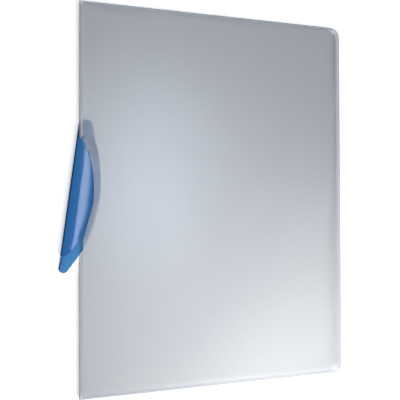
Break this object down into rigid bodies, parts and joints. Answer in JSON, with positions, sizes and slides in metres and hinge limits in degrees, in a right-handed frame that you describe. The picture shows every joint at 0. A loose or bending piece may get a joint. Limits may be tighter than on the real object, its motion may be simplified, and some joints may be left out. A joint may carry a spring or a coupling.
{
  "type": "clip folder",
  "caption": "Clip folder for A4 paper: a folded sheet of frosted plastic, and a blue clip that swings out of the spine to take or free the pages.",
  "frame": {"origin": "middle of the back cover's underside", "axes": "+X from the spine to the fore-edge, +Y up the page, +Z out of the front cover"},
  "size_m": [0.24, 0.305, 0.0063],
  "materials": {
    "frosted_sheet": "frosted, see-through grey-blue polypropylene with a soft satin sheen",
    "blue_clip": "tinted see-through blue, smooth gloss",
    "rivet": "smooth blue plastic"
  },
  "bodies": {
    "back": {"back_cover": "frosted_sheet", "pivot_rivet": "rivet"},
    "front": {"front_cover": "frosted_sheet"},
    "clip": {"clip": "blue_clip"}
  },
  "joints": [
    {"name": "clip_swing", "type": "hinge", "parent": "back", "child": "clip", "pos_m": [-0.1073, 0.056, 0.0018], "axis": [0, 0, 1], "range_deg": [-82.37, 7.63]},
    {"name": "front_cover_open", "type": "hinge", "parent": "back", "child": "front", "pos_m": [-0.1103, 0, 0.00635], "axis": [0, -1, 0], "range_deg": [0, 180]}
  ]
}
